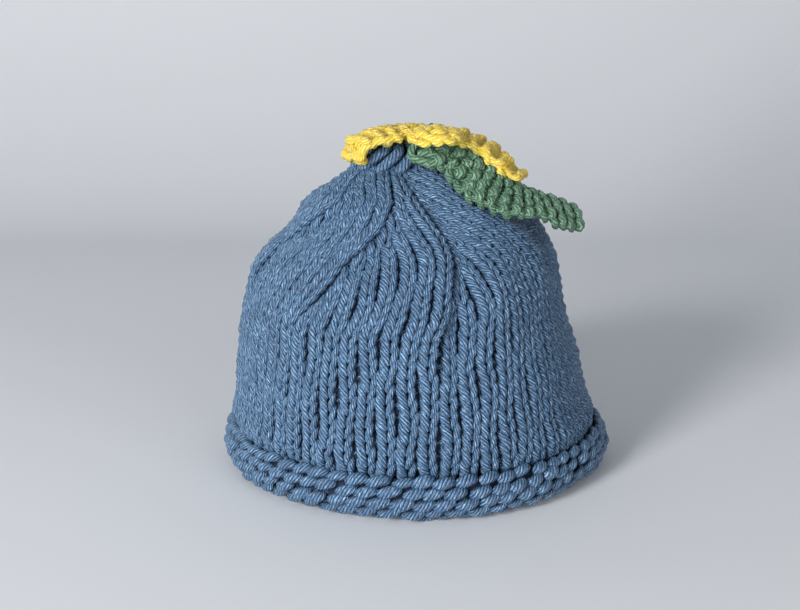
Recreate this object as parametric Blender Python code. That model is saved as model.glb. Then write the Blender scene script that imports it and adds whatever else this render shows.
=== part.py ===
"""Knitted tea cosy for a small two-cup teapot.

Two panels, a front and a back, are knitted in chunky yarn from a hem that rolls outward by
itself.  They are sewn at the sides below and above the slots for the handle (-X) and the spout
(+X).  Eight decrease lines draw the crown in to a gathered top, which carries a knitted flower
with a small wound centre and one garter-stitch leaf.  The cosy is hollow and open underneath; the
gathered top closes to a small ring under the flower.

Metres, +Z up.  The origin is under the middle of the hem, on the surface the cosy stands on.
"""
import math
from collections import namedtuple

import bmesh
import bpy
import numpy as np

MM = 0.001
GAP = 0.3                     # what touching pieces keep between them, in mm

# ---- Driving sizes, in millimetres and degrees -------------------------------------------------
CLOTH = 3.8                   # thickness of the knitted fabric
ROLL_X, ROLL_Y = 62.0, 67.5   # half-axes of the ring that the rolled hem's middle follows
ROLL_BEND = 5.2               # radius that the middle of the cloth follows inside the roll
ROLL_FACETS = 11              # flat steps round the roll, from its loose edge inwards
FLOOR_FACET = 6               # the one that lies on the table
ROLL_FROM = 75.0              # where the loose edge ends, above the horizontal
ROLL_FACET = (ROLL_FROM + 90.0) / (FLOOR_FACET + 0.5)
FRONT_STEPS, BACK_STEPS = 45, 44   # steps round each panel, seam to seam

# Outer face of the panels: height, then the distance from the crown's axis to the left, right
# and front.
BodyRow = namedtuple("BodyRow", "height left right front")
BODY = (
    BodyRow(17.5, 65.6, 64.3, 70.5),
    BodyRow(29.0, 64.5, 60.8, 69.5),
    BodyRow(41.0, 63.7, 58.4, 68.0),
    BodyRow(52.0, 62.4, 54.8, 65.5),
    BodyRow(60.0, 60.6, 52.2, 62.6),
    BodyRow(68.0, 57.6, 50.4, 59.0),
    BodyRow(75.0, 53.2, 48.2, 54.4),
    BodyRow(81.0, 47.2, 45.2, 48.8),
    BodyRow(86.5, 41.0, 42.9, 42.5),
    BodyRow(91.0, 37.0, 41.0, 36.5),
    BodyRow(96.0, 30.6, 37.0, 30.0),
    BodyRow(100.5, 21.0, 30.5, 22.5),
    BodyRow(105.0, 13.4, 21.0, 14.5),
    BodyRow(108.6, 8.2, 11.5, 8.5),
    BodyRow(110.6, 4.4, 4.6, 4.4),
)
BODY_STEPS = 22               # steps up the wall and crown
LEAN_X, LEAN_Y = -8.5, -9.0   # how far the gathered top leans left and forward
LEAN_FROM, LEAN_RISE = 78.0, 28.0
HEM_WAVE, HEM_RIPPLE = 0.4, 0.3   # unevenness of the hem's ring: four waves and six ripples

# Decrease lines of the crown: the cloth left of a line stands proud of the cloth right of it.
# Azimuths are measured from the front, positive to the right, low, at the shoulder and high up.
Line = namedtuple("Line", "low shoulder high proud sunk foot")
LINES = (
    Line(-41.0, -26.0, -3.0, 2.2, 1.5, 52.0),
    Line(7.0, 13.5, 13.0, 1.4, 4.4, 38.0),
    Line(58.0, 61.0, 56.0, 1.6, 1.6, 48.0),
    Line(104.0, 103.0, 100.0, 2.0, 1.6, 52.0),
    Line(150.0, 148.0, 146.0, 1.8, 2.2, 50.0),
    Line(196.0, 195.0, 194.0, 2.0, 1.6, 54.0),
    Line(240.0, 239.0, 240.0, 1.6, 2.0, 50.0),
    Line(280.0, 286.0, 316.0, 2.6, 2.0, 56.0),
)
LINE_HEIGHTS = (57.0, 78.0, 95.0)
LINE_RISE = 22.0              # height over which a line deepens from nothing
LINE_FADE = 22.0              # distance from the axis inside which the lines die away
PROUD_REACH, SUNK_REACH, LINE_STEP = 17.0, 8.5, 2.2
BULGE = dict(azimuth=25.0, reach=9.0, proud=2.4, height=74.0, tall=17.0)

# Slots at the side seams: lower end, upper end and half the opening's width.
HANDLE_SLOT = dict(low=20.0, high=73.0, half=7.5)
SPOUT_SLOT = dict(low=20.0, high=72.0, half=9.0)
SLOT_REACH = 5                # power that keeps a slot's pull close to the seam
SLOT_ROUND = 0.8              # power that rounds a slot's two ends

FLOWER = dict(x=5.0, y=-8.0, thick=4.0, middle=111.0, crest=118.3, crest_at=14.5, notch=21.0)
Petal = namedtuple("Petal", "direction length droop")
PETALS = (
    Petal(-90.0, 29.0, 1.8),
    Petal(-18.0, 31.0, 13.2),
    Petal(54.0, 30.0, 14.5),
    Petal(126.0, 29.5, 5.8),
    Petal(198.0, 29.0, 5.0),
)
PETAL_ROUND = 0.55            # power that makes the petals' ends round and full
PETAL_CURL = 1.1              # power of a petal's droop
PETAL_BLEND = 6.0             # how quickly one petal's length and droop give way to the next's
DROOP_FROM, DROOP_TO = 8.0, 31.0
RUFFLE, RIM_SHARE = 0.8, 0.62
FLOWER_RINGS, FLOWER_SPOKES = 7, 60
CENTRE = dict(radius=5.4, half_height=3.1, seat=1.0)

LeafRow = namedtuple("LeafRow", "x y height half_width tilt")
LEAF = (
    LeafRow(-3.0, -21.0, 108.8, 3.4, 55.0),
    LeafRow(6.0, -24.3, 107.3, 6.4, 46.0),
    LeafRow(17.0, -27.3, 103.4, 8.2, 40.0),
    LeafRow(28.0, -27.8, 97.8, 8.2, 36.0),
    LeafRow(38.0, -25.5, 93.4, 7.4, 33.0),
    LeafRow(47.0, -21.5, 91.0, 6.8, 35.0),
    LeafRow(55.0, -18.0, 88.6, 4.0, 38.0),
)
LEAF_THICK, LEAF_CUP = 3.6, 0.9
LEAF_STEPS, LEAF_ACROSS = 24, 6
LEAF_SCALLOPS, SCALLOP_DEPTH = 9, 0.7

BLUE = (0.105, 0.225, 0.445, 1.0)
YELLOW = (0.905, 0.525, 0.022, 1.0)
GREEN = (0.105, 0.300, 0.205, 1.0)


def clear_scene():
    for old in list(bpy.data.objects):
        bpy.data.objects.remove(old, do_unlink=True)


def yarn_material(name, colour):
    """Plain knitted yarn: matt, with no metal in it."""
    material = bpy.data.materials.new(name)
    material.use_nodes = True
    shader = material.node_tree.nodes["Principled BSDF"]
    shader.inputs["Base Color"].default_value = colour
    shader.inputs["Roughness"].default_value = 0.85
    shader.inputs["Metallic"].default_value = 0.0
    return material


def add_object(name, points, faces, material):
    mesh = bpy.data.meshes.new(name)
    mesh.from_pydata([tuple(p * MM for p in point) for point in points], [], faces)
    mesh.validate()
    work = bmesh.new()
    work.from_mesh(mesh)
    bmesh.ops.recalc_face_normals(work, faces=work.faces)
    work.to_mesh(mesh)
    work.free()
    mesh.materials.append(material)
    mesh.shade_smooth()
    piece = bpy.data.objects.new(name, mesh)
    bpy.context.collection.objects.link(piece)
    return piece


def ease(t):
    t = np.clip(t, 0.0, 1.0)
    return t * t * (3.0 - 2.0 * t)


def spline(table, t):
    """Smooth curve through a table's rows (Catmull-Rom); t runs from 0 to 1."""
    rows = np.asarray(table, dtype=float)
    ends = np.vstack([2 * rows[0] - rows[1], rows, 2 * rows[-1] - rows[-2]])
    place = np.clip(t, 0.0, 1.0) * (len(rows) - 1)
    cell = np.minimum(place.astype(int), len(rows) - 2)
    f = (place - cell)[:, None]
    a, b, c, d = ends[cell], ends[cell + 1], ends[cell + 2], ends[cell + 3]
    return 0.5 * (2 * b + (c - a) * f + (2 * a - 5 * b + 4 * c - d) * f ** 2
                  + (3 * b - a - 3 * c + d) * f ** 3)


def turn_between(azimuth, other):
    """Angle in radians from one azimuth to another, the short way round."""
    return np.radians((azimuth - other + 180.0) % 360.0 - 180.0)


def oval(azimuth, left, right, front):
    """Distance to an oval's rim whose half-axes differ to the left, right and front."""
    s, c = math.sin(math.radians(azimuth)), math.cos(math.radians(azimuth))
    side = right if s > 0 else left
    return 1.0 / np.sqrt((s / side) ** 2 + (c / front) ** 2)


def fold(azimuth, height, reach):
    """How far the crown's cloth stands out (+) or sinks (-) at a place on it."""
    total = np.zeros_like(height)
    for line in LINES:
        at = np.interp(height, LINE_HEIGHTS, (line.low, line.shoulder, line.high))
        aside = turn_between(azimuth, at) * reach
        left = line.proud * np.exp(-(aside / PROUD_REACH) ** 2)
        right = -line.sunk * np.exp(-(aside / SUNK_REACH) ** 2)
        past = 0.5 + 0.5 * np.tanh(aside / LINE_STEP)
        total += ease((height - line.foot) / LINE_RISE) * (left * (1 - past) + right * past)
    around = np.exp(-(turn_between(azimuth, BULGE["azimuth"]) * reach / BULGE["reach"]) ** 2)
    upright = np.exp(-((height - BULGE["height"]) / BULGE["tall"]) ** 2)
    return total * ease(reach / LINE_FADE) + BULGE["proud"] * around * upright


def offset(line, distance):
    """Move a line of (distance out, height) points square to its run, to its right-hand side."""
    run = np.gradient(line, axis=0)
    run /= np.linalg.norm(run, axis=1)[:, None]
    return line + distance * np.stack([run[:, 1], -run[:, 0]], axis=1)


def panel_section(azimuth):
    """Middle of the cloth at one azimuth, from the rolled edge to the gathered top."""
    lift = (ROLL_BEND + CLOTH / 2) * math.cos(math.radians(ROLL_FACET / 2))
    ring = (oval(azimuth, ROLL_X, ROLL_X, ROLL_Y) + HEM_WAVE * math.cos(math.radians(4 * azimuth))
            + HEM_RIPPLE * math.sin(math.radians(6 * azimuth)))
    turn = np.radians(ROLL_FROM - ROLL_FACET * np.arange(ROLL_FACETS + 1))
    roll = np.stack([ring + ROLL_BEND * np.cos(turn), lift + ROLL_BEND * np.sin(turn)], axis=1)
    height, left, right, front = spline(BODY, np.linspace(0.0, 1.0, BODY_STEPS + 1)).T
    reach = oval(azimuth, left, right, front)
    wall = offset(np.stack([reach, height], axis=1), -CLOTH / 2)
    wall[:, 0] += fold(azimuth, height, reach)
    return np.vstack([roll, wall])


def slot_pull(height, slot):
    """Half the slot's opening, in millimetres, at each height."""
    along = (height - slot["low"]) / (slot["high"] - slot["low"])
    return slot["half"] * np.sin(np.pi * np.clip(along, 0.0, 1.0)) ** SLOT_ROUND


def panel_faces(back):
    """Outer and inner faces of one panel as grids of points: [step round, step up]."""
    outer, inner = [], []
    steps = BACK_STEPS if back else FRONT_STEPS
    for step in range(steps + 1):
        across = -1.0 + 2.0 * step / steps
        plain = 90.0 * across
        section = panel_section(180.0 - plain if back else plain)
        sides = [offset(section, CLOTH / 2), offset(section, -CLOTH / 2)]
        slot = HANDLE_SLOT if across < 0 else SPOUT_SLOT
        pull = slot_pull(section[:, 1], slot) * abs(across) ** SLOT_REACH
        for grid, side in ((outer, sides[0]), (inner, sides[1])):
            shift = np.degrees(pull / section[:, 0]) + np.degrees(GAP / 2 / side[:, 0]) * abs(across)
            turned = np.radians(plain - np.sign(across) * shift)
            x = side[:, 0] * np.sin(turned)
            y = -side[:, 0] * np.cos(turned) * (-1 if back else 1)
            z = side[:, 1].copy()
            if grid is outer:
                z[FLOOR_FACET:FLOOR_FACET + 2] = 0.0
            lean = ease((section[:, 1] - LEAN_FROM) / LEAN_RISE)
            grid.append(np.stack([x + LEAN_X * lean, y + LEAN_Y * lean, z], axis=1))
    return np.array(outer), np.array(inner)


def shell_faces(across, along):
    """Faces of a closed sheet from an outer and an inner grid of points."""
    outer = lambda i, j: i * along + j
    inner = lambda i, j: across * along + i * along + j
    top = along - 1
    faces = []
    for i in range(across - 1):
        for j in range(along - 1):
            faces.append((outer(i, j), outer(i + 1, j), outer(i + 1, j + 1), outer(i, j + 1)))
            faces.append((inner(i, j), inner(i, j + 1), inner(i + 1, j + 1), inner(i + 1, j)))
        faces.append((outer(i, 0), inner(i, 0), inner(i + 1, 0), outer(i + 1, 0)))
        faces.append((outer(i, top), outer(i + 1, top), inner(i + 1, top), inner(i, top)))
    last = across - 1
    for j in range(along - 1):
        faces.append((outer(0, j), outer(0, j + 1), inner(0, j + 1), inner(0, j)))
        faces.append((outer(last, j), inner(last, j), inner(last, j + 1), outer(last, j + 1)))
    return faces


def make_panel(name, back, material):
    outer, inner = panel_faces(back)
    across, along = outer.shape[:2]
    points = np.vstack([outer.reshape(-1, 3), inner.reshape(-1, 3)])
    return add_object(name, points, shell_faces(across, along), material)


def sheet_normals(grid):
    """Unit normals of a grid of points, pointing up."""
    along = np.gradient(grid, axis=0)
    around = np.gradient(grid, axis=1)
    normal = np.cross(along, around)
    normal /= np.linalg.norm(normal, axis=2)[:, :, None]
    return normal * np.sign(normal[:, :, 2:3])


def petal_blend(direction, values):
    """A value at a direction round the flower, blended between the neighbouring petals' values."""
    apart = np.radians([direction - petal.direction for petal in PETALS])
    return np.average(values, weights=np.exp(PETAL_BLEND * (np.cos(apart) - 1.0)))


def flower_rim(direction):
    """Distance from the flower's middle to its edge: five round petals."""
    length = petal_blend(direction, [petal.length for petal in PETALS])
    across = abs(math.cos(math.radians(2.5 * (direction - PETALS[0].direction))))
    return FLOWER["notch"] + (length - FLOWER["notch"]) * across ** PETAL_ROUND


def flower_height(distance, direction):
    """Height of the flower's middle surface: dished at the centre, drooping at the petals."""
    dish = ease(distance / FLOWER["crest_at"]) * (FLOWER["crest"] - FLOWER["middle"])
    ruffle = RUFFLE * math.cos(math.radians(5.0 * (direction - PETALS[0].direction)))
    droop = petal_blend(direction, [petal.droop for petal in PETALS])
    past = max(0.0, distance - DROOP_FROM) / (DROOP_TO - DROOP_FROM)
    return FLOWER["middle"] + dish + ruffle * ease(distance / DROOP_TO) - droop * past ** PETAL_CURL


def make_flower(material):
    """Five petals as one draped sheet, dished where it is sewn to the gathered top."""
    grid = np.zeros((FLOWER_RINGS, FLOWER_SPOKES + 2, 3))
    for spoke in range(-1, FLOWER_SPOKES + 1):
        direction = 360.0 * spoke / FLOWER_SPOKES
        for ring in range(FLOWER_RINGS):
            distance = flower_rim(direction) * (ring + 1) / FLOWER_RINGS
            turned = math.radians(direction)
            grid[ring, spoke + 1] = (FLOWER["x"] + distance * math.cos(turned),
                                     FLOWER["y"] + distance * math.sin(turned),
                                     flower_height(distance, direction))
    normal = sheet_normals(grid)[:, 1:-1]
    middle = grid[:, 1:-1]
    half = FLOWER["thick"] / 2
    taper = np.ones(FLOWER_RINGS)
    taper[-1] = RIM_SHARE
    upper = middle + normal * half * taper[:, None, None]
    lower = middle - normal * half * taper[:, None, None]
    points = list(upper.reshape(-1, 3)) + list(lower.reshape(-1, 3))
    points.append((FLOWER["x"], FLOWER["y"], FLOWER["middle"] + half))
    points.append((FLOWER["x"], FLOWER["y"], FLOWER["middle"] - half))
    count = FLOWER_RINGS * FLOWER_SPOKES
    faces = []
    for spoke in range(FLOWER_SPOKES):
        follow = (spoke + 1) % FLOWER_SPOKES
        for ring in range(FLOWER_RINGS - 1):
            a, b = ring * FLOWER_SPOKES + spoke, ring * FLOWER_SPOKES + follow
            c, d = b + FLOWER_SPOKES, a + FLOWER_SPOKES
            faces.append((a, d, c, b))
            faces.append((count + a, count + b, count + c, count + d))
        rim = (FLOWER_RINGS - 1) * FLOWER_SPOKES
        faces.append((rim + spoke, count + rim + spoke, count + rim + follow, rim + follow))
        faces.append((2 * count, spoke, follow))
        faces.append((2 * count + 1, count + follow, count + spoke))
    return add_object("flower", points, faces, material)


def make_flower_centre(material):
    """A few turns of yarn wound into a low bobble, sewn into the flower's dish."""
    work = bmesh.new()
    bmesh.ops.create_icosphere(work, subdivisions=3, radius=1.0)
    rise = FLOWER["middle"] + FLOWER["thick"] / 2 + CENTRE["seat"] + CENTRE["half_height"]
    points = [(FLOWER["x"] + v.co.x * CENTRE["radius"], FLOWER["y"] + v.co.y * CENTRE["radius"],
               rise + v.co.z * CENTRE["half_height"]) for v in work.verts]
    faces = [tuple(v.index for v in face.verts) for face in work.faces]
    work.free()
    return add_object("flower_centre", points, faces, material)


def make_leaf(material):
    """Garter-stitch leaf, fixed beside the gathered top and leaning out over the spout side."""
    grid = np.zeros((LEAF_STEPS + 1, LEAF_ACROSS + 1, 3))
    rows = spline(LEAF, np.linspace(0.0, 1.0, LEAF_STEPS + 1))
    run = np.gradient(rows[:, :3], axis=0)
    for step, row in enumerate(map(LeafRow._make, rows)):
        along = run[step] / np.linalg.norm(run[step])
        level = np.cross(along, (0.0, 0.0, 1.0))
        level /= np.linalg.norm(level)
        up = np.cross(level, along)
        tilt = math.radians(row.tilt)
        across = math.cos(tilt) * level - math.sin(tilt) * up
        proud = math.sin(tilt) * level + math.cos(tilt) * up
        scallop = SCALLOP_DEPTH * math.sin(2 * math.pi * LEAF_SCALLOPS * step / LEAF_STEPS)
        for place in range(LEAF_ACROSS + 1):
            aside = -1.0 + 2.0 * place / LEAF_ACROSS
            width = row.half_width + scallop * abs(aside)
            cup = LEAF_CUP * (1.0 - aside * aside)
            grid[step, place] = np.array(row[:3]) + across * aside * width + proud * cup
    normal = sheet_normals(grid)
    half = LEAF_THICK / 2
    outer, inner = grid + normal * half, grid - normal * half
    across, along = outer.shape[:2]
    points = np.vstack([outer.reshape(-1, 3), inner.reshape(-1, 3)])
    return add_object("leaf", points, shell_faces(across, along), material)


def build():
    clear_scene()
    blue = yarn_material("blue_yarn", BLUE)
    make_panel("front_panel", False, blue)
    make_panel("back_panel", True, blue)
    make_flower(yarn_material("yellow_yarn", YELLOW))
    make_flower_centre(blue)
    make_leaf(yarn_material("green_yarn", GREEN))


build()
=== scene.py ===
"""Looks of the knitted tea cosy: every stitch of the cloth is a loop of plied yarn.

The cloth follows the same middle surface as the solids: a hem that rolls outward, a wall with slots
for the handle and the spout, and a crown drawn in by decrease lines.  Lengths are in millimetres
until a mesh is made, but for the cut sizes and the studio, which are in metres.  Azimuths are in
degrees, 0 at the front and positive towards the spout.
"""
import math
from collections import namedtuple

import bpy
import numpy as np
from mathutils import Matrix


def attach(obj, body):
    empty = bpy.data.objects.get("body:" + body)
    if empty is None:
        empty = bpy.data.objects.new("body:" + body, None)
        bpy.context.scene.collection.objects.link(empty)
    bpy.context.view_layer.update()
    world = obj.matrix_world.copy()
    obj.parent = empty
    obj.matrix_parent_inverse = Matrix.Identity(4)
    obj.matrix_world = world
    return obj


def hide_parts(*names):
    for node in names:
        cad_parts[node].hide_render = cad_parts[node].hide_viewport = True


MM = 0.001
SEED = 7

# ---- The cloth's middle surface, as the solids have it but for the roll's free edge -------------
CLOTH = 3.8                   # the solids' thickness
ROLL_X, ROLL_Y = 62.0, 67.5   # the hem's middle line: half its width and half its depth
ROLL_BEND = 5.2               # radius on which the hem rolls outward
ROLL_FROM, ROLL_TO, ROLL_FACETS = 100.4, -204.2, 12    # degrees round the roll, and its steps
ROLL_RISE = 2.4               # how much higher the yarn stacks on the roll's free edge
# Outer side of the wall and the crown: half its width to the left and the right, half its depth.
BodyRow = namedtuple("BodyRow", "height left right front")
BODY = (
    BodyRow(17.5, 65.6, 64.3, 70.5),
    BodyRow(29.0, 64.5, 60.8, 69.5),
    BodyRow(41.0, 63.7, 58.4, 68.0),
    BodyRow(52.0, 62.4, 54.8, 65.5),
    BodyRow(60.0, 60.6, 52.2, 62.6),
    BodyRow(68.0, 57.6, 50.4, 59.0),
    BodyRow(75.0, 53.2, 48.2, 54.4),
    BodyRow(81.0, 47.2, 45.2, 48.8),
    BodyRow(86.5, 41.0, 42.9, 42.5),
    BodyRow(91.0, 37.0, 41.0, 36.5),
    BodyRow(96.0, 30.6, 37.0, 30.0),
    BodyRow(100.5, 21.0, 30.5, 22.5),
    BodyRow(105.0, 13.4, 21.0, 14.5),
    BodyRow(108.6, 8.2, 11.5, 8.5),
    BodyRow(110.6, 4.4, 4.6, 4.4),
)
BODY_STEPS = 22               # of the wall and the crown, from the hem to the top
LEAN_X, LEAN_Y = -8.5, -9.0   # how far the crown's tip leans to the left and to the front
LEAN_FROM, LEAN_RISE = 78.0, 28.0
HEM_WAVES, HEM_WAVE = 4, 0.4
HEM_RIPPLES, HEM_RIPPLE = 6, 0.3
# Decrease lines: azimuths at LINE_HEIGHTS, how far the cloth stands out at the line's left and
# sinks at its right, and the height of the line's foot.
Line = namedtuple("Line", "low shoulder high proud sunk foot")
LINES = (
    Line(-41.0, -26.0, -3.0, 2.2, 1.5, 52.0),
    Line(7.0, 13.5, 13.0, 1.4, 4.4, 38.0),
    Line(58.0, 61.0, 56.0, 1.6, 1.6, 48.0),
    Line(104.0, 103.0, 100.0, 2.0, 1.6, 52.0),
    Line(150.0, 148.0, 146.0, 1.8, 2.2, 50.0),
    Line(196.0, 195.0, 194.0, 2.0, 1.6, 54.0),
    Line(240.0, 239.0, 240.0, 1.6, 2.0, 50.0),
    Line(280.0, 286.0, 316.0, 2.6, 2.0, 56.0),
)
LINE_HEIGHTS = (57.0, 78.0, 95.0)
LINE_RISE, LINE_FADE = 22.0, 22.0      # height over its foot, distance from the axis, to full depth
PROUD_REACH, SUNK_REACH, LINE_STEP = 17.0, 8.5, 2.2
BULGE = dict(azimuth=25.0, reach=9.0, proud=2.4, height=74.0, tall=17.0)
HANDLE_SLOT = dict(low=20.0, high=73.0, half=7.5)
SPOUT_SLOT = dict(low=20.0, high=72.0, half=9.0)
SLOT_REACH, SLOT_ROUND = 5, 0.8        # powers: how soon a slot's pull dies away, how round its ends

# ---- Gauge: how the stitches lie on that surface ------------------------------------------------
COLUMNS = 64                  # stitches round the hem and the wall
HEM_ROWS, WALL_ROWS, CROWN_ROWS = 12, 10, 23
ROWS = HEM_ROWS + WALL_ROWS + CROWN_ROWS
SHOULDER = 57.0               # height where the decreases begin
# Edges between sections: column number at the wall, then azimuths at LINE_HEIGHTS.
Edge = namedtuple("Edge", "column low shoulder high")
EDGES = (
    Edge(0, -90.0, -85.0, -62.0),
    Edge(2, -80.0, -74.0, -44.0),
    Edge(9, -41.0, -26.0, -3.0),
    Edge(17, 7.0, 13.5, 13.0),
    Edge(26, 58.0, 61.0, 56.0),
    Edge(32, 90.0, 90.0, 86.0),
    Edge(34, 104.0, 103.0, 100.0),
    Edge(43, 150.0, 148.0, 146.0),
    Edge(51, 196.0, 195.0, 194.0),
    Edge(59, 240.0, 239.0, 240.0),
    Edge(64, 270.0, 275.0, 298.0),
)
STRAIGHT_TO = 46.0            # height up to which the columns stand evenly and upright
DRAWN_BY = 63.0               # height from which the columns run with the decrease lines
STITCH_NARROWS = ((57.0, 1.0), (77.0, 0.93), (95.0, 0.78), (108.0, 0.6))   # height, share of width
FEWEST = 0.55                 # stitches left in a section at the top

# One stitch of the yarn's path, from the foot between two stitches to the next foot: across in
# stitch widths, up in row heights, out in mm from the cloth's middle, then the yarn's half-width
# and half-depth in mm.  The left leg lies broad, the right one on edge, as plied yarn does.
Bend = namedtuple("Bend", "across up out wide deep")
LOOP = (
    Bend(-0.50, -0.60, -2.00, 1.10, 1.20),
    Bend(-0.30, -0.74, -1.30, 1.20, 1.25),
    Bend(-0.13, -0.46, 0.20, 1.38, 1.30),
    Bend(-0.17, 0.05, 0.85, 1.52, 1.35),
    Bend(-0.27, 0.55, 0.50, 1.42, 1.30),
    Bend(-0.30, 0.95, -0.90, 1.20, 1.25),
    Bend(-0.02, 1.12, -1.90, 1.15, 1.20),
    Bend(0.27, 0.97, -1.00, 0.80, 1.10),
    Bend(0.34, 0.58, 0.25, 1.02, 1.30),
    Bend(0.26, 0.10, 0.85, 1.20, 1.45),
    Bend(0.15, -0.42, -0.10, 0.88, 1.20),
    Bend(0.32, -0.74, -1.50, 1.00, 1.20),
)
# The same in the rolled hem, which shows its purl side: the loops' heads stand out as bumps.
HEM_LOOP = (
    Bend(-0.50, -0.10, 2.30, 0.80, 0.80),
    Bend(-0.40, -0.12, 2.30, 0.80, 0.80),
    Bend(-0.28, 0.05, 2.20, 0.80, 0.80),
    Bend(-0.21, 0.45, 1.50, 0.85, 0.85),
    Bend(-0.21, 0.96, 0.20, 1.00, 1.00),
    Bend(-0.27, 1.22, -1.20, 1.62, 1.30),
    Bend(0.00, 1.00, -2.10, 2.02, 1.50),
    Bend(0.27, 0.78, -1.20, 1.62, 1.30),
    Bend(0.21, 0.62, 0.20, 1.00, 1.00),
    Bend(0.21, 0.34, 1.50, 0.85, 0.85),
    Bend(0.28, 0.03, 2.20, 0.80, 0.80),
    Bend(0.40, -0.14, 2.30, 0.80, 0.80),
)
# Garter stitch, for the flower and the leaf: every other row is turned over.
GARTER = (
    Bend(-0.50, -0.58, -1.20, 1.45, 1.15),
    Bend(-0.36, -0.66, -0.80, 1.05, 1.00),
    Bend(-0.24, -0.40, 0.00, 0.85, 0.90),
    Bend(-0.20, 0.10, 0.20, 0.85, 0.90),
    Bend(-0.26, 0.60, 0.00, 0.85, 0.90),
    Bend(-0.35, 0.96, -0.80, 1.25, 1.05),
    Bend(0.00, 1.12, -1.30, 1.60, 1.25),
    Bend(0.35, 1.04, -0.80, 1.25, 1.05),
    Bend(0.26, 0.60, 0.00, 0.85, 0.90),
    Bend(0.20, 0.10, 0.20, 0.85, 0.90),
    Bend(0.24, -0.40, 0.00, 0.85, 0.90),
    Bend(0.36, -0.66, -0.80, 1.05, 1.00),
)
HALFWAY = (0, 1, 4, 5, 6, 7, 10, 11)   # bends with one more ring of the tube halfway to the next
SIDES = 8                     # of a tube of yarn
WANDER = 0.45                 # degrees by which a column of stitches strays from its line
SHAKE = 0.15                  # degrees by which one stitch does
STRAY = (0.9, 2.4, 1.7)       # radians that the stray's wave turns by a row, a section and a column
FULL_WIDTH = 5.2              # width in mm under which a stitch's yarn is squeezed
ROLLED_FROM, ROLLED_ROWS = 4.0, 3.0    # rows before the wall where the hem's stitches turn plain
HEM_TWIST = 1.3               # how much tighter the plies turn on the hem's bent stitches
HEM_SKEW = 0.5                # stitches that the hem's columns shift by from row to row
SKEW_ENDS = 3.0               # rows before the wall where that shift ends
ROLL_OUT = 1.3                # how much further in the yarn lies inside the roll
ROLL_OUT_ROWS = 2.5           # rows before the wall over which it comes out again
# How uneven the knitting is, as standard deviations on the plain cloth and more in the roll: the
# yarn's size, its distance from the cloth in mm and its place in rows.
Uneven = namedtuple("Uneven", "size lift place")
PLAIN_UNEVEN, ROLL_UNEVEN = Uneven(0.05, 0.12, 0.04), Uneven(0.04, 0.13, 0.08)
# The same for garter stitch, with its places in mm aside and along.
GARTER_SIZE, GARTER_LIFT, GARTER_ASIDE, GARTER_ALONG = 0.09, 0.28, 0.25, 0.3

# ---- Flower, its centre and the leaf ------------------------------------------------------------
FLOWER = dict(x=5.0, y=-8.0, thick=4.0, middle=111.0, crest=118.3, crest_at=14.5)
# A petal's direction, its length, how far it droops, the radius on which its tip curls under, its
# share of the full width, and how much further its tip falls.
Petal = namedtuple("Petal", "direction length droop curl broad fall")
PETALS = (
    Petal(-86.0, 28.0, 1.4, 0.0, 0.62, 0.4),
    Petal(-18.0, 30.0, 13.2, 0.0, 0.75, 3.4),
    Petal(54.0, 29.5, 15.4, 1.2, 0.9, 1.2),
    Petal(126.0, 29.0, 5.8, 2.2, 1.0, 0.0),
    Petal(198.0, 27.5, 5.0, 4.0, 0.9, 0.0),
)
FALL_FROM = 19.0              # distance from the flower's middle where that fall starts
PETAL_CURL, PETAL_BLEND = 1.1, 6.0     # the droop's power, and how sharply petals' droops part
DROOP_FROM, DROOP_TO = 8.0, 31.0
RUFFLE = 0.8                  # how far petals' middles rise, and the gaps between them sink
CURL_TURN = 2.5               # radians that a petal's tip curls under, on its curl's radius
PETAL_WIDEST, PETAL_FROM = 17.0, 4.5   # distances where a petal is widest and its knitting starts
BLUNT = 0.18                  # share of its width, squared, that a petal keeps at its tip
# The strand round a petal's edge: its start, its turn before the tip, its inset and its radius.
BOUND_FROM, BOUND_TURN, BOUND_INSET, BOUND_YARN = 8.0, 0.6, 0.5, 1.35
CENTRE = dict(radius=5.4, half_height=3.1, seat=1.0, yarn=1.45, turns=3.2, doming=1.3, tilt=0.6)
# The leaf's middle line, half its width there, and the degrees by which its front edge hangs lower.
LeafRow = namedtuple("LeafRow", "x y height half_width tilt")
LEAF = (
    LeafRow(-3.0, -21.0, 108.8, 3.4, 55.0),
    LeafRow(6.0, -24.3, 107.3, 6.4, 46.0),
    LeafRow(17.0, -27.3, 103.4, 8.2, 40.0),
    LeafRow(28.0, -27.8, 97.8, 8.2, 36.0),
    LeafRow(38.0, -25.5, 93.4, 7.4, 33.0),
    LeafRow(47.0, -21.5, 91.0, 6.8, 35.0),
    LeafRow(55.0, -18.0, 88.6, 4.0, 38.0),
)
LEAF_CUP = 0.9                # how far the leaf's middle stands above its edges
TAIL_YARN, TAIL_LIFT = 1.5, 0.8
# The leaf's tail, wound round its base: paths in mm aside (positive to the front) and along.
LEAF_TAIL = (
    ((3.8, 4.0), (2.2, 1.4), (-1.2, 1.2), (-3.0, 3.6), (-3.9, 7.0), (-4.6, 12.0)),
    ((1.8, 3.6), (1.0, 5.6), (1.0, 8.6), (1.6, 12.0)),
    ((-0.8, 4.8), (-1.5, 6.6), (-1.6, 9.2), (-1.2, 12.5)),
    ((3.2, 3.4), (3.9, 6.0), (4.0, 8.6), (3.2, 11.5)),
)
# Garter stitch: a row's height, a stitch's width, the yarn's size and how much tighter it is plied.
Garter = namedtuple("Garter", "pitch stitch yarn twist")
PETAL_KNIT, LEAF_KNIT = Garter(2.45, 4.6, 1.14, 1.5), Garter(2.0, 4.3, 1.06, 1.8)
LEAF_FROM = 8.0               # distance along the leaf where its knitting starts
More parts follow.
